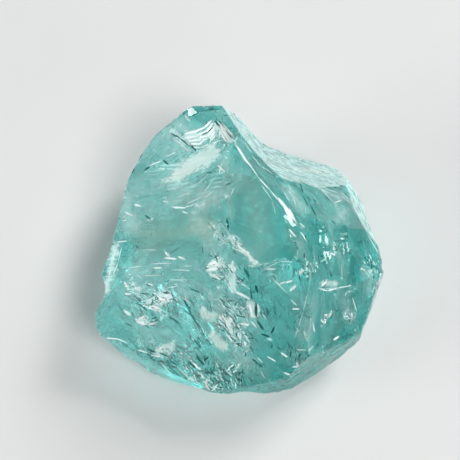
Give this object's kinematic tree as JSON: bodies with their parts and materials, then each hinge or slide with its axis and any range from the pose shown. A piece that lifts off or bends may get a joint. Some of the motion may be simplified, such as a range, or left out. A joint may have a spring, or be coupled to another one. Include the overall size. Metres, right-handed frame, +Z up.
{
  "type": "andara crystal",
  "caption": "Rough chunk of clear aqua andara glass, broken on every side into shell-like faces with sharp ridges; it lies on a small flat face.",
  "frame": {"origin": "middle of the box's underside, on the surface that the chunk rests on", "axes": "+Z up from the resting face, +X and +Y level across the chunk, with the crest running from the far side towards +X"},
  "size_m": [0.0328, 0.0332, 0.0198],
  "materials": {
    "andara_glass": "clear aqua glass, polished by fracture, with fine shell ripples and small rough chips"
  },
  "bodies": {
    "root": {"andara_chunk": "andara_glass"}
  },
  "joints": []
}
